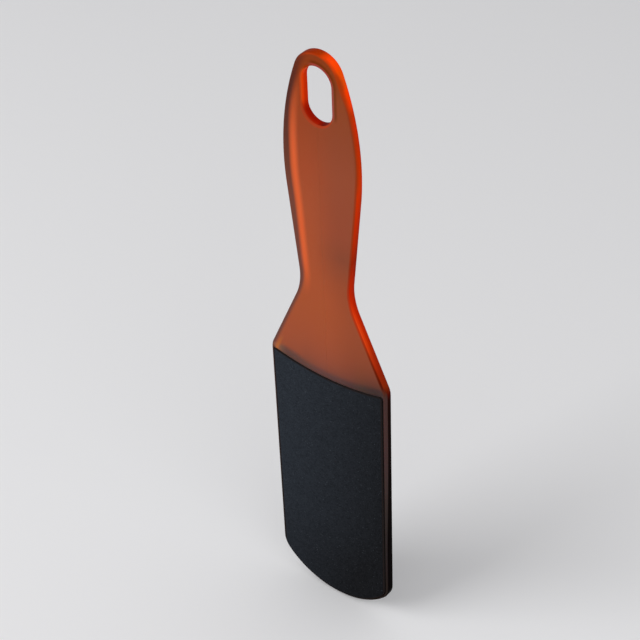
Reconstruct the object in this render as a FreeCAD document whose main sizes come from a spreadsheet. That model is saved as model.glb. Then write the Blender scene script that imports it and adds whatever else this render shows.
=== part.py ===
import FreeCAD, Part
import math
import os
import Sketcher

# A double-sided foot file. One flat plastic moulding is both handle and blade, with a hanging slot
# at its top end, and an abrasive sheet of three layers is stuck on each face of the blade.
# Lengths are in millimetres. +Z runs up the handle and +X across the blade. The coarse side faces
# -Y. The file hangs from its slot, so the origin is the middle of the slot and of the thickness.
# Each outline is drawn up from the rounded lower end, and its body is then lowered by hang_drop.

driving_sizes = {
    # blade
    "blade_width": 53.0,
    "blade_end_height": 17.0,
    "blade_corner_radius": 9.0,
    "shoulder_height": 119.0,
    "shoulder_radius": 8.0,
    # handle
    "overall_length": 250.0,
    "neck_width": 22.2,
    "neck_rise": 39.3,
    "neck_radius": 25.0,
    "grip_width": 31.2,
    "grip_place_share": 0.53,
    "head_radius": 9.5,
    # plate and its rounded edges
    "plate_thickness": 4.0,
    "edge_radius_share": 0.25,
    # hanging slot
    "slot_width": 12.0,
    "slot_length": 21.7,
    "slot_rim": 5.1,
    # abrasive sheets
    "sheet_margin": 1.4,
    "sheet_shoulder_gap": 1.1,
    "sheet_sag": 3.3,
    "sheet_corner_radius": 1.0,
    "adhesive_thickness": 0.1,
    "backing_thickness": 0.25,
    "coarse_grit_thickness": 0.25,
    "fine_grit_thickness": 0.15,
}

doc = FreeCAD.newDocument("foot_file")
sheet = doc.addObject("Spreadsheet::Sheet", "sizes")
for row, (alias, number) in enumerate(driving_sizes.items(), start=1):
    sheet.set("A%d" % row, alias)
    sheet.set("B%d" % row, str(number))
    sheet.setAlias("B%d" % row, alias)
doc.recompute()


def size(alias):
    return float(sheet.get(alias))


# An edge of an outline is (name, centre, start, end), walked counterclockwise round the outline.
# A line has no centre. A hollow arc, which curves into the material, has a name that says so.

def on_circle(centre, radius, angle):
    return (centre[0] + radius * math.cos(angle), centre[1] + radius * math.sin(angle))


def flipped(edge):
    """The same edge on the other side of the centre line, walked in the same sense."""
    name, centre, start, end = edge
    other_centre = centre and (-centre[0], centre[1])
    return (name.replace("right", "left"), other_centre, (-end[0], end[1]), (-start[0], start[1]))


class Outline:
    """A symmetrical closed sketch on its body's XZ plane, with named edges."""

    centre_line = -2
    origin = (-1, 1)

    def __init__(self, body, name):
        plane = [item for item in body.Origin.OriginFeatures if item.Role == "XZ_Plane"][0]
        self.sketch = body.newObject("Sketcher::SketchObject", name)
        self.sketch.AttachmentSupport = [(plane, "")]
        self.sketch.MapMode = "FlatFace"
        self.edges = {}
        self.walk = []

    def draw(self, edge):
        name, centre, start, end = edge
        first, last = FreeCAD.Vector(*start, 0), FreeCAD.Vector(*end, 0)
        hollow = "hollow" in name
        if centre is None:
            shape = Part.LineSegment(first, last)
        else:
            if hollow:
                first, last = last, first
            middle = FreeCAD.Vector(*centre, 0)
            from_middle, to_last = first - middle, last - middle
            start_angle = math.atan2(from_middle.y, from_middle.x)
            sweep = (math.atan2(to_last.y, to_last.x) - start_angle) % (2 * math.pi)
            circle = Part.Circle(middle, FreeCAD.Vector(0, 0, 1), from_middle.Length)
            shape = Part.ArcOfCircle(circle, start_angle, start_angle + sweep)
        self.edges[name] = self.sketch.addGeometry(shape)
        self.walk.append((self.edges[name], 2, 1) if hollow else (self.edges[name], 1, 2))

    def draw_symmetrical(self, bottom, right_edges, top):
        """The bottom edge, the right side going up, the top edge, and the left side going down."""
        left_edges = [flipped(edge) for edge in reversed(right_edges)]
        for edge in [bottom] + right_edges + [top] + left_edges:
            self.draw(edge)
        for (edge, _, end), (following, start, _) in zip(self.walk, self.walk[1:] + self.walk[:1]):
            self.rule("Tangent", edge, end, following, start)
        for name in (bottom[0], top[0]):
            self.rule("PointOnObject", self.edges[name], 3, self.centre_line)

    def rule(self, kind, *target):
        return self.sketch.addConstraint(Sketcher.Constraint(kind, *target))

    def dimension(self, name, formula, kind, *target):
        """A dimension with the value that it has as drawn, which then follows the formula."""
        number = self.rule(kind, *target)
        self.sketch.renameConstraint(number, name)
        self.sketch.setExpression("Constraints." + name, formula)

    def mirror_centres(self, names):
        for name in names:
            right, left = self.edges[name], self.edges[name.replace("right", "left")]
            self.rule("Symmetric", right, 3, left, 3, self.centre_line)

    def construction_point(self, point):
        return self.sketch.addGeometry(Part.Point(FreeCAD.Vector(*point, 0)), True)


def lower_end(outline_half, corner_radius, side_height, lowest):
    """The bottom arc and right corner arc of the rounded end, and the point where the side starts."""
    across, rise = outline_half - corner_radius, side_height - lowest
    end_radius = (across ** 2 + rise ** 2 - corner_radius ** 2) / (2 * (rise - corner_radius))
    end_centre = (0, lowest + end_radius)
    corner_centre = (across, side_height)
    meeting = on_circle(end_centre, end_radius, math.atan2(side_height - end_centre[1], across))
    side_start = (outline_half, side_height)
    bottom = ("bottom", end_centre, (-meeting[0], meeting[1]), meeting)
    corner = ("right_corner", corner_centre, meeting, side_start)
    return bottom, corner, side_start


def tangent_foot(point, centre, radius):
    """Where the line that runs up from the point touches the left of the circle."""
    across, down = point[0] - centre[0], point[1] - centre[1]
    spread = math.acos(radius / math.hypot(across, down))
    return on_circle(centre, radius, math.atan2(down, across) - spread)


def draw_moulding(body):
    """Blade, shoulders, neck, grip and head as one chain of tangent lines and arcs."""
    blade_half = size("blade_width") / 2
    end_height = size("blade_end_height")
    bottom, corner, side_start = lower_end(blade_half, size("blade_corner_radius"), end_height, 0)

    shoulder = (blade_half, size("shoulder_height"))
    neck_radius = size("neck_radius")
    neck_centre = (size("neck_width") / 2 + neck_radius, shoulder[1] + size("neck_rise"))
    flare_end = tangent_foot(shoulder, neck_centre, neck_radius)
    flare_angle = math.atan2(neck_centre[1] - flare_end[1], neck_centre[0] - flare_end[0])
    shoulder_radius = size("shoulder_radius")
    shoulder_drop = shoulder_radius * math.tan(flare_angle / 2)
    shoulder_centre = (blade_half - shoulder_radius, shoulder[1] - shoulder_drop)
    side_end = (blade_half, shoulder_centre[1])
    flare_start = on_circle(shoulder_centre, shoulder_radius, flare_angle)

    grip_half, head_radius = size("grip_width") / 2, size("head_radius")
    grip_run = size("overall_length") - neck_centre[1]
    grip_height = neck_centre[1] + grip_run * size("grip_place_share")
    head_centre = (0, size("overall_length") - head_radius)
    rise = head_centre[1] - grip_height
    grip_radius = (grip_half ** 2 + rise ** 2 - head_radius ** 2) / (2 * (grip_half - head_radius))
    grip_centre = (grip_half - grip_radius, grip_height)
    head_start = on_circle(head_centre, head_radius, math.atan2(rise, -grip_centre[0]))

    across, down = neck_centre[0] - grip_centre[0], neck_centre[1] - grip_centre[1]
    spread = math.acos((grip_radius + neck_radius) / math.hypot(across, down))
    waist_angle = math.atan2(down, across) + spread
    waist_start = on_circle(neck_centre, neck_radius, waist_angle + math.pi)
    waist_end = on_circle(grip_centre, grip_radius, waist_angle)

    outline = Outline(body, "moulding_outline")
    outline.draw_symmetrical(bottom, [
        corner,
        ("right_side", None, side_start, side_end),
        ("right_shoulder", shoulder_centre, side_end, flare_start),
        ("right_flare", None, flare_start, flare_end),
        ("right_hollow_neck", neck_centre, flare_end, waist_start),
        ("right_waist", None, waist_start, waist_end),
        ("right_grip", grip_centre, waist_end, head_start),
    ], ("head", head_centre, head_start, (-head_start[0], head_start[1])))

    edges = outline.edges
    pairs = ("right_corner", "right_shoulder", "right_hollow_neck", "right_grip")
    outline.mirror_centres(pairs)
    for name in ("right_shoulder", "right_hollow_neck"):
        outline.rule("Equal", edges[name], edges[name.replace("right", "left")])
    outline.rule("Vertical", edges["right_side"])
    corner_point = outline.construction_point(shoulder)
    outline.rule("PointOnObject", corner_point, 1, edges["right_side"])
    outline.rule("PointOnObject", corner_point, 1, edges["right_flare"])
    widest_point = outline.construction_point((grip_half, grip_height))
    outline.rule("PointOnObject", widest_point, 1, edges["right_grip"])
    outline.rule("Horizontal", edges["right_grip"], 3, widest_point, 1)

    outline.rule("PointOnObject", *Outline.origin, edges["bottom"])

    radii = {
        "blade_corner_radius": "right_corner",
        "shoulder_radius": "right_shoulder",
        "neck_radius": "right_hollow_neck",
        "head_radius": "head",
    }
    for name, edge in radii.items():
        outline.dimension(name, "sizes." + name, "Radius", edges[edge], size(name))
    neck_formula = "(sizes.shoulder_height + sizes.neck_rise)"
    grip_formula = "%s + (sizes.overall_length - %s) * sizes.grip_place_share" % (neck_formula, neck_formula)
    head_formula = "sizes.overall_length - sizes.head_radius"
    heights = (
        ("end_height", "sizes.blade_end_height", edges["right_corner"], 3, end_height),
        ("shoulder_height", "sizes.shoulder_height", corner_point, 1, shoulder[1]),
        ("neck_height", neck_formula, edges["right_hollow_neck"], 3, neck_centre[1]),
        ("grip_height", grip_formula, edges["right_grip"], 3, grip_height),
        ("head_centre_height", head_formula, edges["head"], 3, head_centre[1]),
    )
    for name, formula, edge, point, height in heights:
        outline.dimension(name, formula, "DistanceY", *Outline.origin, edge, point, height)
    offsets = (
        ("blade_half", "sizes.blade_width / 2", edges["right_side"], 1, blade_half),
        ("neck_centre_offset", "sizes.neck_width / 2 + sizes.neck_radius",
         edges["right_hollow_neck"], 3, neck_centre[0]),
        ("grip_half", "sizes.grip_width / 2", widest_point, 1, grip_half),
    )
    for name, formula, edge, point, offset in offsets:
        outline.dimension(name, formula, "DistanceX", *Outline.origin, edge, point, offset)
    return outline.sketch


def draw_slot(body):
    """The hanging slot: two straight sides between two half circles."""
    radius = size("slot_width") / 2
    top_centre = (0, size("overall_length") - size("slot_rim") - radius)
    low_centre = (0, top_centre[1] - size("slot_length") + size("slot_width"))
    low_right, top_right = (radius, low_centre[1]), (radius, top_centre[1])
    outline = Outline(body, "slot_outline")
    outline.draw_symmetrical(
        ("bottom", low_centre, (-radius, low_centre[1]), low_right),
        [("right_side", None, low_right, top_right)],
        ("top", top_centre, top_right, (-radius, top_centre[1])))
    outline.rule("Vertical", outline.edges["right_side"])
    outline.dimension("slot_radius", "sizes.slot_width / 2", "Radius", outline.edges["top"], radius)
    top_formula = "sizes.overall_length - sizes.slot_rim - sizes.slot_width / 2"
    outline.dimension("top_centre_height", top_formula, "DistanceY",
                      *Outline.origin, outline.edges["top"], 3, top_centre[1])
    outline.dimension("slot_straight", "sizes.slot_length - sizes.slot_width", "DistanceY",
                      outline.edges["bottom"], 3, outline.edges["top"], 3, top_centre[1] - low_centre[1])
    return outline.sketch


def draw_sheet(body, name):
    """An abrasive sheet's outline: the blade's, drawn in by the margin, with a hollow top edge."""
    margin = size("sheet_margin")
    half = size("blade_width") / 2 - margin
    corner_radius, end_height = size("blade_corner_radius") - margin, size("blade_end_height")
    bottom, corner, side_start = lower_end(half, corner_radius, end_height, margin)

    tip_radius = size("sheet_corner_radius")
    sag = size("sheet_sag")
    top_radius = (half ** 2 + sag ** 2) / (2 * sag)
    top_low = size("shoulder_height") - size("sheet_shoulder_gap") - sag
    top_centre = (0, top_low + top_radius)
    tip_across = half - tip_radius
    tip_drop = math.sqrt((top_radius + tip_radius) ** 2 - tip_across ** 2)
    tip_centre = (tip_across, top_centre[1] - tip_drop)
    tip_start = (half, tip_centre[1])
    tip_end = on_circle(top_centre, top_radius, math.atan2(-tip_drop, tip_across))

    outline = Outline(body, name)
    outline.draw_symmetrical(bottom, [
        corner,
        ("right_side", None, side_start, tip_start),
        ("right_tip", tip_centre, tip_start, tip_end),
    ], ("hollow_top", top_centre, tip_end, (-tip_end[0], tip_end[1])))

    edges = outline.edges
    outline.mirror_centres(("right_corner", "right_tip"))
    outline.rule("Vertical", edges["right_side"])
    lowest_point = outline.construction_point((0, margin))
    outline.rule("PointOnObject", lowest_point, 1, Outline.centre_line)
    outline.rule("PointOnObject", lowest_point, 1, edges["bottom"])

    half_formula = "(sizes.blade_width / 2 - sizes.sheet_margin)"
    top_radius_formula = "(%s ^ 2 + sizes.sheet_sag ^ 2) / (2 * sizes.sheet_sag)" % half_formula
    top_low_formula = "sizes.shoulder_height - sizes.sheet_shoulder_gap - sizes.sheet_sag"
    radii = (
        ("corner_radius", "sizes.blade_corner_radius - sizes.sheet_margin", "right_corner", corner_radius),
        ("tip_radius", "sizes.sheet_corner_radius", "right_tip", tip_radius),
        ("top_radius", top_radius_formula, "hollow_top", top_radius),
    )
    for label, formula, edge, radius in radii:
        outline.dimension(label, formula, "Radius", edges[edge], radius)
    heights = (
        ("lowest_height", "sizes.sheet_margin", lowest_point, 1, margin),
        ("end_height", "sizes.blade_end_height", edges["right_corner"], 3, end_height),
        ("top_centre_height", top_low_formula + " + " + top_radius_formula,
         edges["hollow_top"], 3, top_centre[1]),
    )
    for label, formula, edge, point, height in heights:
        outline.dimension(label, formula, "DistanceY", *Outline.origin, edge, point, height)
    outline.dimension("sheet_half", half_formula, "DistanceX", *Outline.origin, edges["right_side"], 1, half)
    return outline.sketch


hang_drop = "(sizes.overall_length - sizes.slot_rim - sizes.slot_length / 2)"


def new_body(label):
    body = doc.addObject("PartDesign::Body", label)
    body.Label = label
    body.setExpression("Placement.Base.z", "-" + hang_drop)
    return body


def build_moulding():
    """The flat plate, with the slot cut through and every edge of both faces rounded."""
    body = new_body("moulded_handle")
    plate = body.newObject("PartDesign::Pad", "plate")
    plate.Profile = draw_moulding(body)
    plate.SideType = "Symmetric"
    plate.setExpression("Length", "sizes.plate_thickness")
    doc.recompute()
    solid_volume = plate.Shape.Volume

    slot = body.newObject("PartDesign::Pocket", "hanging_slot")
    slot.Profile = draw_slot(body)
    slot.Type = "ThroughAll"
    slot.SideType = "Symmetric"
    doc.recompute()
    if slot.Shape.Volume >= solid_volume:
        raise RuntimeError("the hanging slot removed nothing")

    face_y = size("plate_thickness") / 2
    near = face_y / 1000
    rims = []
    for number, edge in enumerate(slot.Shape.Edges, start=1):
        bounds = edge.BoundBox
        if bounds.YLength < near and abs(abs(bounds.YMin) - face_y) < near:
            rims.append("Edge%d" % number)
    rounding = body.newObject("PartDesign::Fillet", "rounded_edges")
    rounding.Base = (slot, rims)
    rounding.setExpression("Radius", "sizes.plate_thickness * sizes.edge_radius_share")
    doc.recompute()
    return body


def build_layer(label, thickness, below, facing_front):
    """One layer of an abrasive sheet. The layers between it and the plate are listed in below."""
    body = new_body(label)
    layer = body.newObject("PartDesign::Pad", label + "_pad")
    layer.Profile = draw_sheet(body, label + "_outline")
    layer.Reversed = not facing_front
    layer.setExpression("Length", "sizes." + thickness)
    seat = " + ".join(["sizes.plate_thickness / 2"] + ["sizes." + alias for alias in below])
    body.setExpression("Placement.Base.y", "-(%s)" % seat if facing_front else seat)
    doc.recompute()
    return body


bodies = [build_moulding()]
for face, grit in (("front", "coarse"), ("rear", "fine")):
    layers = (("adhesive", "adhesive_thickness"), ("backing", "backing_thickness"),
              (grit + "_grit", grit + "_grit_thickness"))
    for place, (name, thickness) in enumerate(layers):
        below = [alias for _, alias in layers[:place]]
        bodies.append(build_layer("%s_%s" % (face, name), thickness, below, face == "front"))

for item in doc.Objects:
    if "Invalid" in item.State or "Error" in item.State:
        raise RuntimeError("%s failed: %s" % (item.Name, item.State))
for body in bodies:
    if body.Shape.isNull() or not body.Shape.isValid() or len(body.Shape.Solids) != 1:
        raise RuntimeError("%s is not one sound solid" % body.Label)

os.makedirs("parts", exist_ok=True)
for body in bodies:
    body.Shape.exportStep("parts/%s.step" % body.Label)
    bounds = body.Shape.BoundBox
    print("%-20s volume %9.2f  x %7.2f %7.2f  y %6.2f %6.2f  z %7.2f %7.2f" % (
        body.Label, body.Shape.Volume, bounds.XMin, bounds.XMax,
        bounds.YMin, bounds.YMax, bounds.ZMin, bounds.ZMax))
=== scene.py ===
import math

import bmesh
import bpy
import numpy as np
from mathutils import Matrix, Vector


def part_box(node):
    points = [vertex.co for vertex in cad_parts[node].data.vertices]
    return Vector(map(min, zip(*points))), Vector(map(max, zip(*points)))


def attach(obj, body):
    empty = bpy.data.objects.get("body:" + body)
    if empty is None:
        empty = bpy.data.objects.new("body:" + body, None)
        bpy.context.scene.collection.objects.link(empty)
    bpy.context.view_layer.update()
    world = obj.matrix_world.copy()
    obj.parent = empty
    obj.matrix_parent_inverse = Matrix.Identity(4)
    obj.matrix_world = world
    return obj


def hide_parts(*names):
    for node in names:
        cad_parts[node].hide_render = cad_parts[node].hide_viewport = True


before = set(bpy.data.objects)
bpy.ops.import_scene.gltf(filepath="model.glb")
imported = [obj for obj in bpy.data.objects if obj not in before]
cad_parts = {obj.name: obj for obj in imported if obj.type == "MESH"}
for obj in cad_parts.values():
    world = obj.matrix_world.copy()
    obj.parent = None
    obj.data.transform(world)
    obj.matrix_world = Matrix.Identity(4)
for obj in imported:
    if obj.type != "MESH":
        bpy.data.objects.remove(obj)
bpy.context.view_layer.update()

# A double-sided foot file that hangs or stands upright: one translucent plastic plate, with a black
# abrasive sheet on each face of its blade. Metres, +Z up the handle, -Y out of the coarse side. The
# origin is the middle of the hanging slot, so most heights are below zero.

plateLow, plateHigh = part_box("moulded_handle")
plateHalf = (plateHigh.x - plateLow.x) / 2
faceDepth = (plateHigh.y - plateLow.y) / 2
inMillimetres = 1000


def paint(red, green, blue):
    # the linear colour of an 8-bit screen colour: (c + 0.055) / 1.055 to the power 2.4, or c / 12.92
    shares = [number / 255 for number in (red, green, blue)]
    linear = [((c + 0.055) / 1.055) ** 2.4 if c > 0.04045 else c / 12.92 for c in shares]
    return (*linear, 1.0)


# Outlines. An outline's right half is a chain of arcs and lines from the lowest point to the top one.

def arcAt(centre, radius, angle, hollow=False):
    # centre + radius * (cos angle, sin angle); a hollow arc's normal points to its centre
    turn = np.column_stack((np.cos(angle), np.sin(angle)))
    return np.array(centre) + radius * turn, -turn if hollow else turn


def arc(centre, radius, start, end, spacing, hollow=False):
    # the same with the angles spread evenly from start to end, three of them at least
    count = max(3, int(abs(end - start) * radius / spacing) + 1)
    return arcAt(centre, radius, np.linspace(start, end, count), hollow)


def line(start, end, spacing):
    # evenly from start to end; the normal is the direction turned a quarter clockwise
    start, end = np.array(start), np.array(end)
    run = end - start
    length = np.hypot(*run)
    share = np.linspace(0, 1, max(2, int(length / spacing) + 1))[:, None]
    normal = np.array((run[1], -run[0])) / length
    return start + share * run, np.repeat(normal[None], len(share), axis=0)


def closedLoop(pieces):
    # the right half going up, then its mirror image coming down, with the shared points left out
    points = np.concatenate([piece[0][:-1] for piece in pieces] + [pieces[-1][0][-1:]])
    normals = np.concatenate([piece[1][:-1] for piece in pieces] + [pieces[-1][1][-1:]])
    mirror = np.array((-1, 1))
    return (np.concatenate((points, points[-2:0:-1] * mirror)),
            np.concatenate((normals, normals[-2:0:-1] * mirror)))


def roundedEnd(half, cornerRadius, sideHeight, lowest):
    # the circle through (0, lowest) that the corner circle touches from inside:
    # its radius, the height of its centre and the angle at which they touch
    across, rise = half - cornerRadius, sideHeight - lowest
    radius = (across ** 2 + rise ** 2 - cornerRadius ** 2) / (2 * (rise - cornerRadius))
    return radius, lowest + radius, math.atan2(sideHeight - lowest - radius, across)


plate = {
    # the CAD plate's sizes in metres, from the lower end up
    "length": 0.250, "slotRim": 0.0051, "slotWidth": 0.012, "slotLength": 0.0217,
    "endHeight": 0.017, "cornerRadius": 0.009,
    "shoulderHeight": 0.119, "shoulderRadius": 0.008,
    "neckWidth": 0.0222, "neckRise": 0.0393, "neckRadius": 0.025,
    "gripWidth": 0.0312, "gripPlace": 0.53, "headRadius": 0.0095,
    "edgeRadius": 0.001,
    # how finely it is drawn and measured
    "spacing": 0.0008, "faceSteps": 24, "roundSteps": 6, "slotSteps": 20,
    "measuringParts": 40, "slack": 1e-7, "weld": 1e-6,
}
footHeight = plate["slotRim"] + plate["slotLength"] / 2 - plate["length"]


def plateOutline():
    # blade end, corner, side, shoulder, flare, hollow neck, waist, grip and head,
    # each tangent to the next
    edge, step = plate["edgeRadius"], plate["spacing"]
    endRadius, endCentre, meeting = roundedEnd(
        plateHalf, plate["cornerRadius"], footHeight + plate["endHeight"], footHeight)
    cornerCentre = (plateHalf - plate["cornerRadius"], footHeight + plate["endHeight"])

    shoulderHeight = footHeight + plate["shoulderHeight"]
    neckRadius = plate["neckRadius"]
    neckCentre = (plate["neckWidth"] / 2 + neckRadius, shoulderHeight + plate["neckRise"])
    across, down = plateHalf - neckCentre[0], shoulderHeight - neckCentre[1]
    flareAngle = math.atan2(down, across) - math.acos(neckRadius / math.hypot(across, down)) + math.pi
    shoulderDrop = plate["shoulderRadius"] * math.tan(flareAngle / 2)
    shoulderCentre = (plateHalf - plate["shoulderRadius"], shoulderHeight - shoulderDrop)

    gripHalf, headRadius = plate["gripWidth"] / 2, plate["headRadius"]
    top = footHeight + plate["length"]
    gripHeight = neckCentre[1] + (top - neckCentre[1]) * plate["gripPlace"]
    rise = top - headRadius - gripHeight
    gripRadius = (gripHalf ** 2 + rise ** 2 - headRadius ** 2) / (2 * (gripHalf - headRadius))
    gripCentre = (gripHalf - gripRadius, gripHeight)
    headAngle = math.atan2(rise, -gripCentre[0])

    across, down = neckCentre[0] - gripCentre[0], neckCentre[1] - gripCentre[1]
    spread = math.acos((gripRadius + neckRadius) / math.hypot(across, down))
    waistAngle = math.atan2(down, across) + spread

    # beside the slot's lower half circle the rows lie as close as its points do, evenly round it
    slotRadius = plate["slotWidth"] / 2 + edge
    slotFoot = -(plate["slotLength"] - plate["slotWidth"]) / 2
    levels = slotFoot - slotRadius * np.sin(np.linspace(math.pi / 2, 0, plate["slotSteps"]))
    slotAngles = np.arcsin((levels - gripHeight) / (gripRadius - edge))

    corner = arc(cornerCentre, plate["cornerRadius"], meeting, 0, step)
    shoulder = arc(shoulderCentre, plate["shoulderRadius"], 0, flareAngle, step / 2)
    neck = arc(neckCentre, neckRadius, flareAngle + math.pi, waistAngle + math.pi, step, hollow=True)
    grip = arc(gripCentre, gripRadius, waistAngle, slotAngles[0], step)
    return closedLoop([
        arc((0, endCentre), endRadius, -math.pi / 2, meeting, step),
        corner,
        line(corner[0][-1], shoulder[0][0], step),
        shoulder,
        line(shoulder[0][-1], neck[0][0], step),
        neck,
        line(neck[0][-1], grip[0][0], step),
        grip,
        arcAt(gripCentre, gripRadius, slotAngles),
        arc(gripCentre, gripRadius, slotAngles[-1], headAngle, step),
        arc((0, top - headRadius), headRadius, headAngle, math.pi / 2, step / 2),
    ])


def slotSpine(points):
    # the nearest points of the short line down the slot's middle,
    # from one half circle's centre to the other
    reach = (plate["slotLength"] - plate["slotWidth"]) / 2
    return np.column_stack((np.zeros(len(points)), np.clip(points[:, 1], -reach, reach)))


def faceInnerEdge(flat):
    # the slot's rim, level with the point or straight towards the upper half circle's centre;
    # under the slot, the middle line, no lower than the blade's rounded end
    half = plate["slotWidth"] / 2 + plate["edgeRadius"]
    reach = (plate["slotLength"] - plate["slotWidth"]) / 2
    x, z = flat.T
    towards = flat - (0, reach)
    towards = towards / np.hypot(*towards.T)[:, None]
    width = np.sqrt(np.clip(half ** 2 - np.clip(-reach - z, 0, None) ** 2, 0, None))
    level = np.column_stack((np.sign(x) * width, np.maximum(z, footHeight + plate["endHeight"])))
    return np.where((z > reach)[:, None], (0, reach) + half * towards, level)


def nearestDistance(points, targets):
    # the shortest distance from each point to the target points, worked out for some points at a time
    nearest = []
    for part in np.array_split(points, plate["measuringParts"]):
        gaps = part[:, None, :] - targets[None, :, :]
        nearest.append(np.sqrt((gaps ** 2).sum(axis=2)).min(axis=1))
    return np.concatenate(nearest)


def gridFaces(rows, columns, first=0, closed=False):
    # four-cornered faces between neighbouring rows and columns; closed joins the last row to the first
    row = np.arange(rows if closed else rows - 1)[:, None]
    column = np.arange(columns - 1)[None, :]
    following = (row + 1) % rows
    corners = (row * columns + column, following * columns + column,
               following * columns + column + 1, row * columns + column + 1)
    return first + np.stack(corners, axis=-1).reshape(-1, 4)


def roundedWall(points, normals, inward):
    # a quarter circle, a straight wall and a quarter circle, carried along the outline:
    # inset by (1 - sin angle) and sunk by (1 - cos angle) of the edge radius
    edge = plate["edgeRadius"]
    quarter = np.linspace(0, math.pi / 2, plate["roundSteps"] + 1)
    inset = edge * (1 - np.sin(quarter))
    depth = faceDepth - edge * (1 - np.cos(quarter))
    inset = np.concatenate((inset, (0,), inset[::-1]))
    depth = np.concatenate((-depth, (0,), depth[::-1]))
    turn = np.concatenate((np.sin(quarter), (1,), np.sin(quarter)[::-1]))
    places = points[:, None, :] + inward * normals[:, None, :] * inset[None, :, None]
    deep = np.broadcast_to(depth, places.shape[:2])
    wall = np.stack((places[..., 0], deep, places[..., 1]), axis=-1)
    return wall, np.broadcast_to(turn, deep.shape)


def sheetCurves(x, sheet):
    # heights of a sheet's rounded lower edge and of its hollow upper edge, at each x
    half = plateHalf - sheet["margin"]
    side = np.abs(x)
    cornerRadius = plate["cornerRadius"] - sheet["margin"]
    sideHeight = footHeight + plate["endHeight"]
    lowest = footHeight + sheet["margin"]
    endRadius, endCentre, meeting = roundedEnd(half, cornerRadius, sideHeight, lowest)
    bottom = endCentre - np.sqrt(np.clip(endRadius ** 2 - side ** 2, 0, None))
    cornerRun = np.clip(side - (half - cornerRadius), 0, None)
    corner = sideHeight - np.sqrt(np.clip(cornerRadius ** 2 - cornerRun ** 2, 0, None))
    bottom = np.where(side > endRadius * math.cos(meeting), corner, bottom)

    sag, tipRadius = sheet["sag"], sheet["tipRadius"]
    topRadius = (half ** 2 + sag ** 2) / (2 * sag)
    topCentre = footHeight + plate["shoulderHeight"] - sheet["shoulderGap"] - sag + topRadius
    tipAcross = half - tipRadius
    tipDrop = math.sqrt((topRadius + tipRadius) ** 2 - tipAcross ** 2)
    top = topCentre - np.sqrt(topRadius ** 2 - side ** 2)
    tipRun = np.clip(side - tipAcross, 0, None)
    tip = topCentre - tipDrop + np.sqrt(np.clip(tipRadius ** 2 - tipRun ** 2, 0, None))
    return bottom, np.where(side > topRadius * tipAcross / (topRadius + tipRadius), tip, top)


abrasive = {
    # a sheet's outline: inside the blade's edge, below the shoulders, its upper edge's hollow and corners
    "margin": 0.0014, "shoulderGap": 0.0011, "sag": 0.0033, "tipRadius": 0.001,
    # how finely a coat is drawn and a place's distance from the sheet measured
    "columns": 168, "rows": 392, "borderSteps": 400, "tipClearance": 0.0001,
    # grains: points of the lattice before it repeats, how far they stray, how steep the cones are,
    # and for each coat the lattice's step, the height of the grains and the side that it faces
    "lattice": 512, "shake": 0.45, "coneSlope": 1.1,
    "coarse": {"grain": 0.00052, "relief": 0.00013, "seed": 100, "facing": -1},
    "fine": {"grain": 0.00034, "relief": 0.00007, "seed": 180, "facing": 1},
}


def sheetBorder():
    # points all round a sheet, for measuring how far a place on the plate is from it
    half, steps = plateHalf - abrasive["margin"], abrasive["borderSteps"]
    x = half * np.sin(np.linspace(-math.pi / 2, math.pi / 2, steps))
    bottom, top = sheetCurves(x, abrasive)
    sides = np.linspace(bottom[0], top[0], steps)
    right = np.full(steps, half)
    return np.concatenate((
        np.column_stack((x, bottom)), np.column_stack((x, top)),
        np.column_stack((right, sides)), np.column_stack((-right, sides))))


def buildMesh(name, points, faces, fields):
    # one closed shell: doubles merged, normals outwards, smooth, with its named number fields
    mesh = bpy.data.meshes.new(name)
    mesh.from_pydata(points, [], faces)
    for label, numbers in fields.items():
        layer = mesh.attributes.new(label, "FLOAT", "POINT")
        layer.data.foreach_set("value", numbers.astype(np.float32))
    shell = bmesh.new()
    shell.from_mesh(mesh)
    bmesh.ops.remove_doubles(shell, verts=shell.verts, dist=plate["weld"])
    bmesh.ops.recalc_face_normals(shell, faces=shell.faces)
    shell.to_mesh(mesh)
    shell.free()
    mesh.shade_smooth()
    piece = bpy.data.objects.new(name, mesh)
    bpy.context.scene.collection.objects.link(piece)
    return piece


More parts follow.
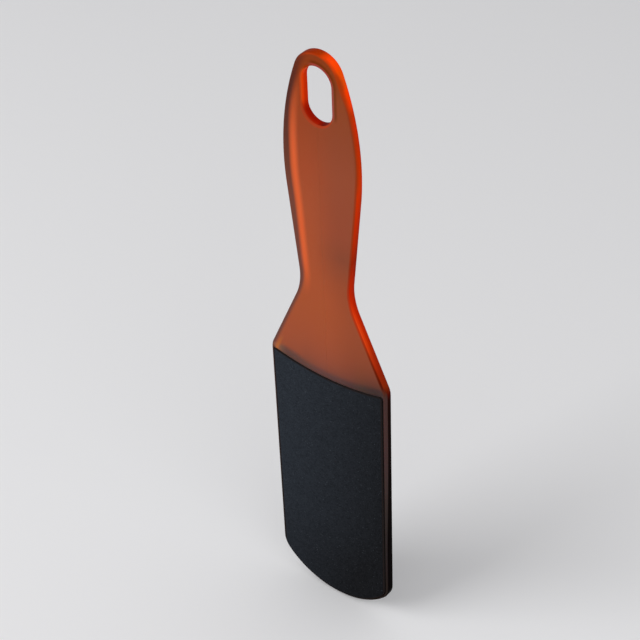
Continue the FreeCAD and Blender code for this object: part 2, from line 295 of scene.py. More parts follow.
def buildPlate():
    # both faces as grids from the outline to the slot or the middle line, and the two rounded walls
    points, normals = plateOutline()
    edge = plate["edgeRadius"]
    flat = points - edge * normals
    inner = faceInnerEdge(flat)
    share = (1 - np.cos(np.linspace(0, math.pi, plate["faceSteps"] + 1))) / 2
    places = flat[:, None, :] + (inner - flat)[:, None, :] * share[None, :, None]

    outerWall, outerTurn = roundedWall(points, normals, -1)
    slotReach = plate["slotWidth"] / 2 + edge - plate["slack"]
    onSlot = np.hypot(*(inner - slotSpine(inner)).T) > slotReach
    rim = inner[onSlot]
    rim = np.roll(rim, -int(np.argmin(rim[:, 1])), axis=0)
    rimNormals = rim - slotSpine(rim)
    rimNormals = rimNormals / np.hypot(*rimNormals.T)[:, None]
    slotWall, slotTurn = roundedWall(rim - edge * rimNormals, rimNormals, 1)

    grids, faces, turns, first = [], [], [], 0
    rows, columns = places.shape[:2]
    for depth in (-faceDepth, faceDepth):
        deep = np.full((rows, columns), depth)
        grids.append(np.stack((places[..., 0], deep, places[..., 1]), axis=-1).reshape(-1, 3))
        turns.append(np.zeros(rows * columns))
        faces.append(gridFaces(rows, columns, first, closed=True))
        first += rows * columns
    for wall, turn in ((outerWall, outerTurn), (slotWall, slotTurn)):
        grids.append(wall.reshape(-1, 3))
        turns.append(turn.reshape(-1))
        faces.append(gridFaces(*wall.shape[:2], first, closed=True))
        first += wall.shape[0] * wall.shape[1]
    vertices = np.concatenate(grids)

    # how far each point is from the outline, the slot and the sheet, in millimetres, the last below
    # zero under the sheet, and how far the surface has turned there, from 0 on the faces to 1 on the walls
    spots = vertices[:, (0, 2)]
    sheetHalf = plateHalf - abrasive["margin"]
    clear = sheetHalf - abrasive["tipClearance"]
    low, high = sheetCurves(np.clip(spots[:, 0], -clear, clear), abrasive)
    covered = (spots[:, 1] > low) & (spots[:, 1] < high) & (np.abs(spots[:, 0]) < sheetHalf)
    slotGap = np.hypot(*(spots - slotSpine(spots)).T) - plate["slotWidth"] / 2
    sheetGap = np.where(covered, -1, 1) * nearestDistance(spots, sheetBorder())
    fields = {
        "edgeDistance": nearestDistance(spots, points) * inMillimetres,
        "slotDistance": slotGap * inMillimetres,
        "sheetDistance": sheetGap * inMillimetres,
        "edgeTurn": np.concatenate(turns),
    }
    return buildMesh("mouldedPlate", vertices, np.concatenate(faces).tolist(), fields)


def grainHeights(x, z, size, seed):
    # the highest of the cones that stand on the points of a shaken lattice, from 0 to 1
    table, shake, slope = abrasive["lattice"], abrasive["shake"], abrasive["coneSlope"]
    dice = np.random.default_rng(seed)
    shakeX, shakeZ, steeper = dice.uniform(-shake, shake, (3, table, table))
    columnIndex, rowIndex = np.floor(x / size).astype(int), np.floor(z / size).astype(int)
    best = np.zeros_like(x)
    for right in (-1, 0, 1):
        for up in (-1, 0, 1):
            i, j = columnIndex + right, rowIndex + up
            a, b = i % table, j % table
            gap = np.hypot(x / size - i - 0.5 - shakeX[a, b], z / size - j - 0.5 - shakeZ[a, b])
            best = np.maximum(best, 1 - gap * (slope + steeper[a, b]))
    return best


def buildCoat(name, node, grit):
    # the grid (u, v): x = half * sin(u * 90 degrees), z from the lower to the upper edge by v,
    # and y lowered from the outer plane by the hollows between the grains
    low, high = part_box(node)
    outer, seat = (low.y, high.y) if grit["facing"] < 0 else (high.y, low.y)
    half = plateHalf - abrasive["margin"]
    x = half * np.sin(np.linspace(-math.pi / 2, math.pi / 2, abrasive["columns"]))
    bottom, top = sheetCurves(x, abrasive)
    v = np.linspace(0, 1, abrasive["rows"])[:, None]
    z = bottom + (top - bottom) * v
    x = np.broadcast_to(x, z.shape)
    heights = grainHeights(x, z, grit["grain"], grit["seed"])
    y = outer - grit["facing"] * grit["relief"] * (1 - heights)
    surface = np.stack((x, y, z), axis=-1).reshape(-1, 3)
    rows, columns = z.shape
    # a straight skirt from the grid's border down to the paper, and one flat face under it
    index = np.arange(rows * columns).reshape(rows, columns)
    loop = np.concatenate((index[0, :-1], index[:-1, -1], index[-1, :0:-1], index[:0:-1, 0]))
    border = surface[loop].copy()
    border[:, 1] = seat
    vertices = np.concatenate((surface, border))
    below = len(surface) + np.arange(len(loop))
    skirt = np.column_stack((loop, np.roll(loop, -1), np.roll(below, -1), below))
    faces = gridFaces(rows, columns).tolist() + skirt.tolist() + [below[::-1].tolist()]
    inside = np.minimum(np.minimum(z - bottom, top - z), half - np.abs(x)) * inMillimetres
    onSkirt = np.zeros(len(loop))
    return buildMesh(name, vertices, faces, {
        "grainHeight": np.concatenate((heights.reshape(-1), onSkirt)),
        "borderDistance": np.concatenate((inside.reshape(-1), onSkirt)),
    })


# Materials. Sums of number fields read as ordinary sums.

class Field:
    def __init__(self, finish, socket):
        self.finish = finish
        self.socket = socket

    def sum(self, operation, first, second):
        return self.finish.field("Math", {"operation": operation}, {0: first, 1: second})

    def __add__(self, other):
        return self.sum("ADD", self, other)

    def __radd__(self, other):
        return self.sum("ADD", other, self)

    def __sub__(self, other):
        return self.sum("SUBTRACT", self, other)

    def __rsub__(self, other):
        return self.sum("SUBTRACT", other, self)

    def __mul__(self, other):
        return self.sum("MULTIPLY", self, other)

    def __rmul__(self, other):
        return self.sum("MULTIPLY", other, self)

    def __truediv__(self, other):
        return self.sum("DIVIDE", self, other)

    def __rtruediv__(self, other):
        return self.sum("DIVIDE", other, self)


class Finish:
    def __init__(self, name):
        self.material = bpy.data.materials.new(name)
        self.material.use_nodes = True
        self.tree = self.material.node_tree
        self.shader = self.tree.nodes["Principled BSDF"]
        self.place = self.add("TexCoord").outputs["Object"]
        parts = self.add("SeparateXYZ", sockets={"Vector": self.place}).outputs
        self.x, self.y, self.z = (Field(self, part) for part in parts)

    def add(self, kind, settings=None, sockets=None):
        node = self.tree.nodes.new("ShaderNode" + kind)
        for name, choice in (settings or {}).items():
            if name == "stops":
                self.placeStops(node.color_ramp.elements, choice)
            else:
                setattr(node, name, choice)
        for name, content in (sockets or {}).items():
            self.feed(node.inputs[name], content)
        return node

    def placeStops(self, elements, stops):
        while len(elements) < len(stops):
            elements.new(1.0)
        for element, (place, tone) in zip(elements, stops):
            element.position = place
            element.color = tone

    def feed(self, socket, content):
        content = content.socket if isinstance(content, Field) else content
        if isinstance(content, bpy.types.NodeSocket):
            self.tree.links.new(content, socket)
        else:
            socket.default_value = content

    def field(self, kind, settings=None, sockets=None, output=0):
        return Field(self, self.add(kind, settings, sockets).outputs[output])

    def reading(self, label):
        return self.field("Attribute", {"attribute_name": label}, output="Fac")

    def rise(self, number, low, high):
        # 0 up to low, 1 from high on, and an even s-curve between
        return self.field("MapRange", {"interpolation_type": "SMOOTHSTEP"},
                          {"Value": number, "From Min": low, "From Max": high})

    def bump(self, number, centre, width):
        # 1 at the centre, 0 from a width away
        return self.rise(self.field("Math", {"operation": "ABSOLUTE"}, {0: number - centre}), width, 0.0)

    def noise(self, size, detail, roughness=0.5):
        # an uneven field from 0 to 1 with spots of about this size, in metres
        return self.field("TexNoise", None, {"Vector": self.place, "Scale": 1 / size,
                                             "Detail": detail, "Roughness": roughness})

    def mix(self, factor, first, second):
        return self.add("Mix", {"data_type": "RGBA"}, {0: factor, 6: first, 7: second}).outputs[2]

    def ramp(self, number, tones):
        # the tone at each place, blended evenly between neighbours
        first, last = tones[0][0], tones[-1][0]
        stops = [((place - first) / (last - first), paint(*tone)) for place, tone in tones]
        share = (number - first) / (last - first)
        return self.add("ValToRGB", {"stops": stops}, {"Fac": share}).outputs["Color"]

    def relief(self, height, depth, normal=None):
        # a bump that is as deep as it says, laid over the bump before it
        sockets = {"Height": height, "Distance": depth, "Strength": 1.0}
        if normal:
            sockets["Normal"] = normal
        return self.add("Bump", None, sockets).outputs["Normal"]

    def surface(self, **sockets):
        # feeds the shader's sockets by their names, such as baseColor for Base Color
        for name, content in sockets.items():
            words = name[0].upper() + "".join(" " + c if c.isupper() else c for c in name[1:])
            self.feed(self.shader.inputs[words.replace("I O R", "IOR")], content)
        return self.material


# The plastic's finish, most of its tones painted light and shade. The number before a tone is its height
# above the lower end in millimetres, and for overSheet and headEdge its place across from the middle line.
plastic = {
    "tones": {
        # the faces' brown-orange with painted light and shade: lighter at the left than at the right, and
        # changing with height
        "leftFace": [
            (124, (160, 80, 52)), (145, (163, 81, 49)), (165, (166, 81, 49)), (190, (162, 79, 49)),
            (205, (158, 74, 45)), (220, (149, 69, 40)), (230, (147, 65, 34)), (243, (136, 57, 24))],
        "rightFace": [
            (124, (144, 73, 48)), (145, (151, 75, 48)), (160, (150, 75, 48)), (172, (134, 71, 50)),
            (182, (144, 73, 51)), (205, (145, 74, 50)), (220, (140, 70, 45)), (235, (137, 67, 38)),
            (243, (132, 60, 28))],
        # painted shade on the blade's plastic beside the sheets, darker towards the lower end
        "margin": [
            (8, (39, 33, 28)), (30, (43, 35, 35)), (45, (47, 40, 39)), (60, (54, 46, 44)),
            (75, (64, 50, 48)), (90, (70, 51, 50)), (118, (73, 50, 47))],
        # painted shade along the left edge
        "leftRim": [
            (119, (100, 66, 60)), (150, (106, 66, 58)), (190, (113, 66, 54)), (205, (104, 60, 47)),
            (220, (92, 52, 43)), (232, (80, 44, 38)), (244, (96, 44, 30))],
        # the walls' painted glow by height: bright red-orange above the blade, and painted shade, nearly
        # black, along the blade under the sheets
        "wall": [
            (10, (2, 0, 0)), (45, (3, 0, 0)), (75, (6, 1, 0)), (90, (10, 2, 1)), (108, (16, 3, 1)),
            (116, (26, 3, 0)), (117.5, (52, 4, 1)), (118.5, (68, 7, 2)), (120.5, (101, 30, 8)),
            (122, (123, 36, 8)), (127, (140, 35, 9)), (130, (155, 38, 9)), (134, (163, 40, 8)),
            (138, (184, 42, 2)), (143, (192, 41, 3)), (148, (194, 39, 3)), (153, (183, 34, 2)),
            (158, (173, 31, 1)), (163, (167, 31, 1)), (167, (157, 30, 2)), (172, (138, 28, 2)),
            (176, (153, 33, 2)), (181, (167, 36, 2)), (190, (179, 39, 2)), (203, (188, 46, 2)),
            (212, (176, 44, 2)), (220, (174, 40, 3)), (226, (190, 40, 6)), (230.5, (178, 44, 5)),
            (233.5, (222, 53, 8)), (236, (230, 55, 0)), (240, (234, 59, 0))],
        # painted light and shade on the right rounded edge, by height
        "rightFillet": [
            (118, (74, 48, 40)), (120, (86, 42, 30)), (122, (84, 26, 12)), (124, (88, 24, 6)),
            (127, (102, 26, 5)), (130, (112, 29, 6)), (134, (128, 39, 12)), (138, (150, 46, 18)),
            (142, (165, 50, 20)), (150, (170, 54, 22)), (160, (158, 52, 26)), (170, (140, 50, 24)),
            (180, (148, 54, 22)), (200, (150, 58, 28)), (215, (140, 60, 30)), (228, (142, 58, 32)),
            (236, (150, 58, 26)), (240, (166, 57, 18))],
        # painted shade on the face above the sheet, by place across
        "overSheet": [
            (-24, (160, 98, 70)), (-22.5, (135, 88, 66)), (-21, (110, 78, 66)), (-19, (99, 68, 61)),
            (-9, (98, 68, 61)), (-4, (101, 67, 62)), (6, (90, 63, 59)), (11, (82, 57, 55)),
            (16, (73, 56, 50)), (21, (66, 50, 48)), (24, (66, 50, 48))],
        # painted light round the head's wall, dark at the left and bright at the right, by place across
        "headEdge": [
            (-8.5, (82, 40, 34)), (-6.7, (103, 42, 30)), (-4.7, (116, 42, 22)), (-1.6, (136, 39, 6)),
            (1.6, (154, 45, 4)), (3.2, (205, 58, 6)), (4.7, (241, 65, 10)), (6.1, (248, 68, 6)),
            (7.5, (240, 68, 6)), (8.4, (223, 70, 4)), (9.2, (221, 71, 8))],
        # the face and the outline's wall: a painted shadow line beside the sheet, a painted streak of
        # light, a painted glint at the shoulder, painted shade at the wall's front and rear, and a painted
        # highlight on the ridge
        "besideSheet": paint(14, 8, 7), "streak": paint(214, 95, 52), "shoulderGlint": paint(176, 100, 50),
        "wallFront": paint(142, 50, 14), "wallRear": paint(120, 24, 6), "ridge": paint(222, 84, 32),
        # the face beside the slot, its rounded edge and its inside, foot being the slot's lower end, all in
        # painted light and shade: painted shade in the strips, painted highlights in the lines and the
        # ridge, and painted shade in footDark
        "slotStrip": paint(105, 52, 26), "slotLine": paint(150, 74, 64),
        "upperStrip": paint(104, 42, 8), "upperLine": paint(154, 62, 52),
        "slotFillet": paint(180, 66, 26), "slotRidge": paint(216, 90, 32),
        "slotFront": paint(210, 60, 9), "slotDeep": paint(189, 42, 2), "slotRoof": paint(156, 54, 8),
        "footFillet": paint(167, 62, 33), "footFront": paint(154, 30, 6), "footDeep": paint(148, 20, 2),
        "footDark": paint(96, 14, 3),
        # black where the walls' painted glow stops
        "noGlow": paint(0, 0, 0),
    },
    # where it changes, as spans from none to all, in millimetres but for the turns
    "spans": {
        # across, from the middle line
        "left": (-2, -8), "right": (1, 5), "leftToRight": (-7, 9), "outerLeft": (-9, -14),
        "farLeft": (-14, -20), "tipLeft": (-19.5, -22.5), "outerRight": (8, 20), "besideSlot": (1, 4),
        "footRight": (-1, 2), "headRight": (-6, 3), "crownRight": (3, 5), "shoulderSide": (24, 25),
        # heights above the lower end
        "lowBlade": (95, 35), "blade": (110, 105), "bladeWall": (122, 119), "shoulder": (120, 117),
        "glintFoot": (116.5, 118.3), "glintTop": (127, 119), "aboveSheet": (117, 121),
        "aboveBlade": (119, 125), "flare": (123, 132), "neckLeft": (165, 145), "neckUp": (148, 168),
        "belowGrip": (210, 192), "gripWall": (199, 206), "gripUp": (200, 214), "gripEnd": (239, 233),
        "streakMove": (160, 195), "streakBack": (207, 236), "streakEnd": (245, 205),
        "rimNarrow": (208, 232), "reachGrip": (216, 224), "reachHead": (242, 247),
        "slotUp": (226, 229.5), "slotFoot": (231.5, 226.5), "slotRidgeUp": (229, 232),
        "slotUpper": (238, 243), "slotEnd": (241, 245), "slotRoof": (242, 244),
        "head": (231, 240), "nearCrown": (244, 246.5), "crown": (244.5, 247),
        # depths from the middle of the thickness
        "front": (0, -0.5), "rear": (-1, 1.4), "deeper": (-1.3, 0.1), "bladeDepth": (-1, -0.4),
        # distances from the slot and from the sheet
        "onSlot": (2, 1), "slotLine": (1.6, 1.1), "sheetLine": (0.6, 0.2),
        # turns
        "fillet": (0.03, 0.55), "bladeTurn": (0.05, 0.35),
    },
    # narrow places, as a centre and how far from it they fade out
    "humps": {
        # distances from the streak's middle, the edge and the slot
        "streak": (0, 2.5), "glint": (2.8, 1.2), "slotStrip": (1.8, 1.2),
        # heights and turns
        "reachLow": (238, 2.5), "reachHigh": (241, 2.5), "neckShade": (172, 9), "ridge": (143, 16),
        "ridgeTurn": (0.93, 0.12), "slotRidgeTurn": (0.74, 0.22),
    },
    # millimetres, each with what it gains or loses at the places that the code names beside it
    "sizes": {
        "neckShift": 6, "slotEndShift": 4.4, "veilStart": 0.4, "veilLength": 7,
        "bandTop": 4.2, "bandTopOuter": 1.5, "bandTopTip": 1.6, "bandFoot": 1.2, "bandFootOuter": 0.8,
        "rim": 2.4, "rimNeck": 1.6, "rimFull": 0.6, "rimFullNeck": 2, "rimFullHead": 1.2,
        "streak": 3.8, "streakGrip": 1.2, "streakHead": 1.4,
        "headFoot": 238, "headFootLeft": 14, "headTop": 242, "headTopLeft": 2,
        "reach": 0.2, "reachGrip": 0.6, "reachHead": 2.3, "reachLow": 0.4, "reachHigh": 0.6,
        "reachCrown": 0.9, "nearest": -1.9, "bladeNearer": 0.85,
    },
    # strengths from 0 to 1, and the turns at which a wall starts, with what they gain or lose
    "shares": {
        "veil": 0.95, "veilRight": 0.25, "veilOuter": 0.35, "veilFar": 0.23,
        "glint": 0.8, "slotStrip": 0.8, "ridge": 0.7, "slotRidge": 0.7,
        "near": 0.95, "nearCrown": 0.3, "rear": 0.5, "rearNeck": 0.3, "filletGrip": 0.42,
        "wallStart": 0.84, "wallStartFlare": 0.22, "wallStartHead": 0.42, "wallStartCrown": 0.06,
        "wallEndHead": 0.12,
    },
    "skin": {
        # glow is the strength of the walls' painted glow, given off as emission
        "roughness": 0.46, "roughnessTurn": 0.16, "roughnessFrost": 0.08, "gloss": 0.004, "glow": 0.25,
        "scatter": 0.12, "scatterTone": (1.0, 0.25, 0.08), "scatterDepth": 0.002,
        "frostSize": 0.00028, "frostDetail": 3.0, "frostRoughness": 0.6, "frostDepth": 0.000012,
        "flowSize": 0.012, "flowDetail": 1.0, "flowDepth": 0.00006,
    },
}


class PlateFinish(Finish):
    # frosted translucent orange: brown-orange faces in painted light and shade, edges with a painted glow,
    # painted shade where the sheets take the light
    def __init__(self, name):
        super().__init__(name)
        tones, sizes = plastic["tones"], plastic["sizes"]
        self.height = (self.z - footHeight) * inMillimetres
        self.across, self.depth = self.x * inMillimetres, self.y * inMillimetres
        self.edge, self.slot = self.reading("edgeDistance"), self.reading("slotDistance")
        self.sheet, self.turn = self.reading("sheetDistance"), self.reading("edgeTurn")
        self.left, self.right = self.span(self.across, "left"), self.span(self.across, "right")

        self.onSlot = self.span(self.slot, "onSlot")
        self.foot, self.roof = self.span(self.height, "slotFoot"), self.span(self.height, "slotRoof")
        slotSide = self.across + self.span(self.height, "slotEnd") * sizes["slotEndShift"]
        self.besideSlot = self.span(slotSide, "besideSlot") * self.span(self.height, "slotUp")
        self.grip = (self.right * self.span(self.height, "gripUp") * self.span(self.height, "gripEnd")
                     * (1 - self.onSlot))
        side = self.field("Math", {"operation": "ABSOLUTE"}, {0: self.across})
        shoulder = self.span(side, "shoulderSide") * self.span(self.height, "shoulder")
        self.besideSheet = self.span(self.height, "blade") + shoulder

        upper = self.span(self.height, "slotUpper")
        self.slotLine = self.mix(upper, tones["slotLine"], tones["upperLine"])
        self.slotStrip = self.mix(upper, tones["slotStrip"], tones["upperStrip"])
        self.margin = self.ramp(self.height, tones["margin"])
        self.rim = self.ramp(self.height, tones["leftRim"])

    def span(self, number, place):
        return self.rise(number, *plastic["spans"][place])

    def hump(self, number, place):
        return self.bump(number, *plastic["humps"][place])

    def sheetShade(self):
        # the sheet's shade on the face above it: a veil, e to the power of minus the distance over
        # the veil's length, and a band along the sheet where the veil leaves room for it
        sizes, shares = plastic["sizes"], plastic["shares"]
        outer = self.span(self.across, "outerLeft")
        strength = (shares["veil"] + self.span(self.across, "outerRight") * shares["veilRight"]
                    - outer * shares["veilOuter"] - self.span(self.across, "farLeft") * shares["veilFar"])
        power = (self.sheet - sizes["veilStart"]) / -sizes["veilLength"]
        veil = self.field("Math", {"operation": "POWER"}, {0: math.e, 1: power}) * strength
        bandTop = (sizes["bandTop"] + outer * sizes["bandTopOuter"]
                   - self.span(self.across, "tipLeft") * sizes["bandTopTip"])
        bandFoot = sizes["bandFoot"] + outer * sizes["bandFootOuter"]
        return veil + self.rise(self.sheet, bandTop, bandFoot) * (1 - veil)

    def leftRim(self, face):
        # painted shade on a rim along the left edge, a painted streak of light behind it and a painted
        # glint at the shoulder
        sizes = plastic["sizes"]
        neckUp = self.span(self.height, "neckUp")
        rimFull = (sizes["rimFull"] + neckUp * sizes["rimFullNeck"]
                   - self.span(self.height, "rimNarrow") * sizes["rimFullHead"])
        rim = self.rise(self.edge, sizes["rim"] + neckUp * sizes["rimNeck"], rimFull)
        face = self.mix(self.left * rim * self.span(self.height, "aboveSheet"), face, self.rim)
        middle = (sizes["streak"] + self.span(self.height, "streakMove") * sizes["streakGrip"]
                  - self.span(self.height, "streakBack") * sizes["streakHead"])
        streak = self.hump(self.edge - middle, "streak") * neckUp * self.span(self.height, "streakEnd")
        face = self.mix(self.left * streak, face, plastic["tones"]["streak"])
        glint = (self.hump(self.edge, "glint") * self.span(self.height, "glintFoot")
                 * self.span(self.height, "glintTop"))
        glint = self.left * glint * plastic["shares"]["glint"]
        return self.mix(glint, face, plastic["tones"]["shoulderGlint"])

    def face(self):
        # both faces, from the left tones to the right ones as painted light from the left, with painted
        # shade beside sheet, edge and slot, and painted highlights by the left edge and the slot
        tones = plastic["tones"]
        turning = self.across - self.span(self.height, "neckLeft") * plastic["sizes"]["neckShift"]
        face = self.mix(self.span(turning, "leftToRight"), self.ramp(self.height, tones["leftFace"]),
                        self.ramp(self.height, tones["rightFace"]))
        face = self.mix(self.sheetShade(), face, self.ramp(self.across, tones["overSheet"]))
        # painted shade on the plastic beside the sheet, and a painted shadow line right along its edge
        margin = self.mix(self.span(self.sheet, "sheetLine"), self.margin, tones["besideSheet"])
        face = self.leftRim(self.mix(self.besideSheet, face, margin))
        strip = self.hump(self.slot, "slotStrip") * self.besideSlot * plastic["shares"]["slotStrip"]
        face = self.mix(strip, face, self.slotStrip)
        return self.mix(self.span(self.slot, "slotLine") * self.besideSlot, face, self.slotLine)

    def fillet(self):
        # the rounded edges of the outline and of the slot, in painted light and shade
        tones = plastic["tones"]
        outline = self.mix(self.left, self.ramp(self.height, tones["rightFillet"]), self.rim)
        outline = self.mix(self.besideSheet, outline, self.margin)
        slot = self.mix(self.foot, tones["slotFillet"], tones["footFillet"])
        slot = self.mix(self.roof, slot, tones["slotRoof"])
        slot = self.mix(self.besideSlot, slot, self.slotLine)
        return self.mix(self.onSlot, outline, slot)

    def slotWall(self):
        # the inside of the slot, in painted light and shade: redder with depth, with other painted tones at
        # the lower end and the roof, and painted shade at the right of the lower end
        tones = plastic["tones"]
        deeper = self.span(self.depth, "deeper")
        foot = self.mix(deeper, tones["footFront"], tones["footDeep"])
        foot = self.mix(self.span(self.across, "footRight"), foot, tones["footDark"])
        wall = self.mix(self.foot, self.mix(deeper, tones["slotFront"], tones["slotDeep"]), foot)
        return self.mix(self.roof, wall, tones["slotRoof"])

    def wall(self):
        # the straight walls, in painted light and shade: by height, round the head by place across, with a
        # browner painted shade from the front edge as deep as reach says, and a duller painted shade at the
        # rear of the neck
        tones, sizes, shares = plastic["tones"], plastic["sizes"], plastic["shares"]
        onHead = self.rise(self.height, sizes["headFoot"] - self.left * sizes["headFootLeft"],
                           sizes["headTop"] + self.left * sizes["headTopLeft"])
        wall = self.mix(onHead, self.ramp(self.height, tones["wall"]),
                        self.ramp(self.across, tones["headEdge"]))
        reach = (sizes["reach"] + self.span(self.height, "reachGrip") * sizes["reachGrip"]
                 - self.span(self.height, "reachHead") * sizes["reachHead"])
        reach = (reach - self.hump(self.height, "reachLow") * sizes["reachLow"]
                 + self.hump(self.height, "reachHigh") * sizes["reachHigh"])
        reach = reach + self.span(self.height, "crown") * sizes["reachCrown"]
        near = shares["near"] - self.span(self.height, "nearCrown") * shares["nearCrown"]
        near = (self.rise(self.depth, reach, sizes["nearest"]) * self.span(self.height, "gripWall")
                * self.right * near)
        wall = self.mix(near, wall, tones["wallFront"])
        rear = (self.span(self.depth, "rear") * self.span(self.height, "belowGrip")
                * self.span(self.height, "aboveBlade"))
        rear = rear * (shares["rear"] + self.hump(self.height, "neckShade") * shares["rearNeck"])
        wall = self.mix(rear, wall, tones["wallRear"])
        return self.mix(self.onSlot, wall, self.slotWall())

    def onWall(self):
        # how far a place counts as wall: by its turn, sooner above the flare and round the head, and on
        # the blade by its depth
        sizes, shares = plastic["sizes"], plastic["shares"]
        head = self.span(self.height, "head") * self.span(self.across, "headRight") * (1 - self.onSlot)
        crown = head * self.span(self.height, "crown") * self.span(self.across, "crownRight")
        flare = (1 - self.left * (1 - self.onSlot)) * self.span(self.height, "flare")
        flare = flare * (1 - self.onSlot * self.foot) * (1 - self.grip)
        start = (shares["wallStart"] - flare * shares["wallStartFlare"] - head * shares["wallStartHead"]
                 - crown * shares["wallStartCrown"])
        upper = self.rise(self.turn, start, 1 - (head - crown) * shares["wallEndHead"])
        onBlade = self.span(self.height, "bladeWall")
        depth = self.depth + self.span(self.height, "lowBlade") * sizes["bladeNearer"]
        blade = self.span(depth, "bladeDepth") * self.span(self.turn, "bladeTurn")
        return upper * (1 - onBlade) + blade * onBlade

    def ridges(self, colour):
        # the bright lines where the neck's and the slot's rounded edges catch the light
        front = self.span(self.depth, "front")
        ridge = self.hump(self.turn, "ridgeTurn") * self.hump(self.height, "ridge") * front * self.right
        colour = self.mix(ridge * plastic["shares"]["ridge"], colour, plastic["tones"]["ridge"])
        ridge = (self.hump(self.turn, "slotRidgeTurn") * self.onSlot * self.left
                 * self.span(self.height, "slotRidgeUp") * (1 - self.roof) * front)
        return self.mix(ridge * plastic["shares"]["slotRidge"], colour, plastic["tones"]["slotRidge"])

    def finished(self):
        # face, fillets, walls and ridges over one another, all in painted light and shade; the walls give
        # off a painted glow as emission, and two noises roughen it all
        look = plastic["skin"]
        turned = self.span(self.turn - self.grip * plastic["shares"]["filletGrip"], "fillet")
        colour = self.mix(turned, self.face(), self.fillet())
        wall, onWall = self.wall(), self.onWall()
        colour = self.ridges(self.mix(onWall, colour, wall))
        frost = self.noise(look["frostSize"], look["frostDetail"], look["frostRoughness"])
        flow = self.noise(look["flowSize"], look["flowDetail"])
        normal = self.relief(flow, look["flowDepth"], self.relief(frost, look["frostDepth"]))
        roughness = look["roughness"] - self.turn * look["roughnessTurn"] + frost * look["roughnessFrost"]
        return self.surface(
            baseColor=colour, roughness=roughness, normal=normal, specularIORLevel=look["gloss"],
            emissionColor=self.mix(onWall, plastic["tones"]["noGlow"], wall), emissionStrength=look["glow"],
            subsurfaceWeight=look["scatter"], subsurfaceRadius=look["scatterTone"],
            subsurfaceScale=look["scatterDepth"])


gritLook = {
    "tones": {
        # lit and dark tones, mixed by the grains' peaks and by noise, partly painted light; the far tones
        # are painted shade
        "lit": paint(45, 50, 57), "dark": paint(34, 38, 44), "speck": paint(84, 90, 97),
        "litFar": paint(27, 28, 31), "darkFar": paint(15, 16, 18), "border": paint(34, 27, 26),
    },
    # painted shade on the coat: where it is darker, in millimetres across and up the blade, and towards its
    # lower end
    "farMiddle": 0.45, "acrossRun": 55, "heightMiddle": 60, "heightRun": 300,
    "lowEnd": (50, 10), "lowEndShare": 0.2,
    # noises, as their size in grains, their detail and their roughness
    "small": (0.5, 2.0, 0.7), "clusters": (4, 3.0, 0.6), "bright": (1.1, 1.0, 0.5),
    # how much each says in the colour, and from where to where its tones go
    "peakShare": 0.5, "smallShare": 0.3, "clusterShare": 0.4, "light": (0.35, 0.85),
    "specks": (0.70, 0.76), "speckShare": 0.35, "border": (0.65, 0.2),
    "roughness": 0.62, "roughnessSmall": 0.3, "gloss": 0.02, "depth": 0.25,
}


def gritFinish(name, grain):
    # slate black resin with fine mineral grains, a few of them bright; lit and dark tones mixed by the
    # grains' peaks and by noise, partly painted light, and painted shade towards the lower right
    coat, look, tones = Finish(name), gritLook, gritLook["tones"]
    peaks, border = coat.reading("grainHeight"), coat.reading("borderDistance")
    small, clusters, bright = (coat.noise(grain * size, detail, roughness) for size, detail, roughness
                               in (look["small"], look["clusters"], look["bright"]))
    height = (coat.z - footHeight) * inMillimetres
    far = look["farMiddle"] + coat.x * inMillimetres / look["acrossRun"]
    far = far + (look["heightMiddle"] - height) / look["heightRun"]
    far = far + coat.rise(height, *look["lowEnd"]) * look["lowEndShare"]
    lit = coat.mix(far, tones["lit"], tones["litFar"])
    dark = coat.mix(far, tones["dark"], tones["darkFar"])
    light = peaks * look["peakShare"] + small * look["smallShare"] + clusters * look["clusterShare"]
    colour = coat.mix(coat.rise(light, *look["light"]), dark, lit)
    specks = coat.rise(bright, *look["specks"]) * look["speckShare"]
    colour = coat.mix(specks, colour, tones["speck"])
    colour = coat.mix(coat.rise(border, *look["border"]), colour, tones["border"])
    return coat.surface(baseColor=colour, roughness=look["roughness"] + small * look["roughnessSmall"],
                        specularIORLevel=look["gloss"], normal=coat.relief(small, grain * look["depth"]))


layers = {
    "backing": {"name": "backingPaper", "tone": (20, 20, 21), "grain": 0.0006, "roughness": 0.7},
    "adhesive": {"name": "adhesiveFilm", "tone": (30, 26, 24), "grain": 0.0009, "roughness": 0.5},
    "both": {"detail": 3.0, "uneven": 0.5, "darker": 0.5, "roughness": 0.15, "gloss": 0.25, "depth": 0.05},
}


def plainFinish(settings):
    # paper or film edge: one tone, a little uneven
    film, look = Finish(settings["name"]), layers["both"]
    tone = paint(*settings["tone"])
    darker = tuple(look["darker"] * part for part in tone[:3]) + (1.0,)
    uneven = film.noise(settings["grain"], look["detail"])
    return film.surface(
        baseColor=film.mix(uneven * look["uneven"], tone, darker),
        roughness=settings["roughness"] + uneven * look["roughness"],
        specularIORLevel=look["gloss"], normal=film.relief(uneven, settings["grain"] * look["depth"]))


def dress(piece, material, slot, *nodes):
    # the piece's material and its body, and the CAD nodes that it stands for, hidden
    piece.data.materials.clear()
    piece.data.materials.append(material)
    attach(piece, "root")
    if nodes:
        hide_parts(*nodes)


dress(buildPlate(), PlateFinish("translucentPlastic").finished(), "translucent_plastic", "moulded_handle")
print("plate ready")

coarse, fine = abrasive["coarse"], abrasive["fine"]
dress(buildCoat("coarseCoat", "front_coarse_grit", coarse),
      gritFinish("coarseGrit", coarse["grain"]), "coarse_grit", "front_coarse_grit")
dress(buildCoat("fineCoat", "rear_fine_grit", fine),
      gritFinish("fineGrit", fine["grain"]), "fine_grit", "rear_fine_grit")
for layer in ("backing", "adhesive"):
    material = plainFinish(layers[layer])
    for side in ("front", "rear"):
        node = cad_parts[f"{side}_{layer}"]
        node.data.materials.clear()
        node.data.materials.append(material)
print("sheets ready")


# Studio: a pale floor, one large soft lamp at the front left and a weaker one at the right.

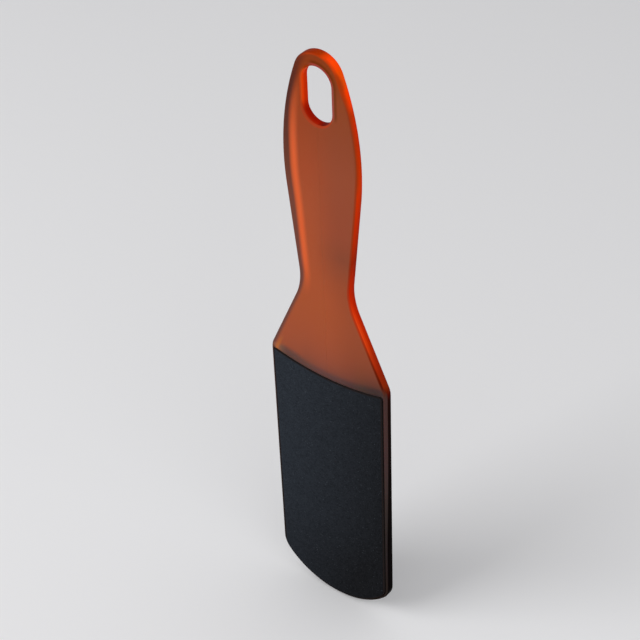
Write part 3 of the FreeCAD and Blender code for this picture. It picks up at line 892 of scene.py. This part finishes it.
studio = {
    "floorSize": 6.0, "floorTone": (0.86, 0.86, 0.87, 1), "floorRoughness": 0.8, "floorGloss": 0.1,
    "skyTone": (0.93, 0.93, 0.94, 1), "skyLight": 0.52,
    "key": {"place": (-0.75, -1.05, 0.85), "size": 1.0, "power": 12.6},
    "fill": {"place": (1.25, -0.45, 0.45), "size": 1.2, "power": 6.8},
}


def buildFloor():
    # one square, level with the lowest point of the blade
    half = studio["floorSize"] / 2
    mesh = bpy.data.meshes.new("floor")
    ways = ((-1, -1), (1, -1), (1, 1), (-1, 1))
    mesh.from_pydata([(half * x, half * y, footHeight) for x, y in ways], [], [(0, 1, 2, 3)])
    floor = bpy.data.objects.new("floor", mesh)
    bpy.context.scene.collection.objects.link(floor)
    ground = Finish("paleFloor")
    ground.surface(baseColor=studio["floorTone"], roughness=studio["floorRoughness"],
                   specularIORLevel=studio["floorGloss"])
    mesh.materials.append(ground.material)


def lamp(name, settings, aim):
    # a square soft light that faces its aim
    light = bpy.data.lights.new(name, "AREA")
    light.shape = "SQUARE"
    light.size = settings["size"]
    light.energy = settings["power"]
    holder = bpy.data.objects.new(name, light)
    place = Vector(settings["place"])
    facing = (place - aim).to_track_quat("Z", "Y").to_matrix().to_4x4()
    holder.matrix_world = Matrix.Translation(place) @ facing
    bpy.context.scene.collection.objects.link(holder)


def buildSky():
    # pale to the camera and in reflections, and a plain even light on everything else
    world = bpy.data.worlds.new("studio")
    bpy.context.scene.world = world
    world.use_nodes = True
    tree = world.node_tree
    sky = tree.nodes["Background"]
    sky.inputs["Color"].default_value = studio["skyTone"]
    path = tree.nodes.new("ShaderNodeLightPath")
    shown = path.outputs["Is Camera Ray"]
    for ray in ("Is Glossy Ray", "Is Transmission Ray"):
        either = tree.nodes.new("ShaderNodeMath")
        either.operation = "MAXIMUM"
        tree.links.new(shown, either.inputs[0])
        tree.links.new(path.outputs[ray], either.inputs[1])
        shown = either.outputs[0]
    strength = tree.nodes.new("ShaderNodeMapRange")
    strength.inputs["To Min"].default_value = studio["skyLight"]
    tree.links.new(shown, strength.inputs["Value"])
    tree.links.new(strength.outputs["Result"], sky.inputs["Strength"])


middle = Vector((0, 0, footHeight + plate["length"] / 2))
buildFloor()
buildSky()
lamp("keyLamp", studio["key"], middle)
lamp("fillLamp", studio["fill"], middle)
print("studio ready")


view = {
    "azimuth": 39.51, "elevation": 38.29, "roll": -2.49,
    "distance": 0.6026, "aimRight": -0.0036, "aimUp": 0.0123,
    "focal": 92.75, "film": 36.0, "nearest": 0.01,
}


def buildCamera():
    # back = from the object to the camera; right and up are turned about it by the roll
    azimuth, elevation, roll = (math.radians(view[key]) for key in ("azimuth", "elevation", "roll"))
    level = Vector((math.cos(azimuth), math.sin(azimuth), 0))
    away = Vector((math.sin(azimuth), -math.cos(azimuth), 0))
    back = math.cos(elevation) * away + math.sin(elevation) * Vector((0, 0, 1))
    upright = back.cross(level)
    right = math.cos(roll) * level + math.sin(roll) * upright
    up = math.cos(roll) * upright - math.sin(roll) * level
    place = middle + view["distance"] * back + view["aimRight"] * right + view["aimUp"] * up
    film = bpy.data.cameras.new("camera")
    film.sensor_width = view["film"]
    film.lens = view["focal"]
    film.clip_start = view["nearest"]
    camera = bpy.data.objects.new("camera", film)
    turn = Matrix((right, up, back)).transposed().to_4x4()
    camera.matrix_world = Matrix.Translation(place) @ turn
    bpy.context.scene.collection.objects.link(camera)
    bpy.context.scene.camera = camera


buildCamera()
bpy.context.scene.view_settings.view_transform = "Standard"
bpy.context.view_layer.update()
print("camera ready")
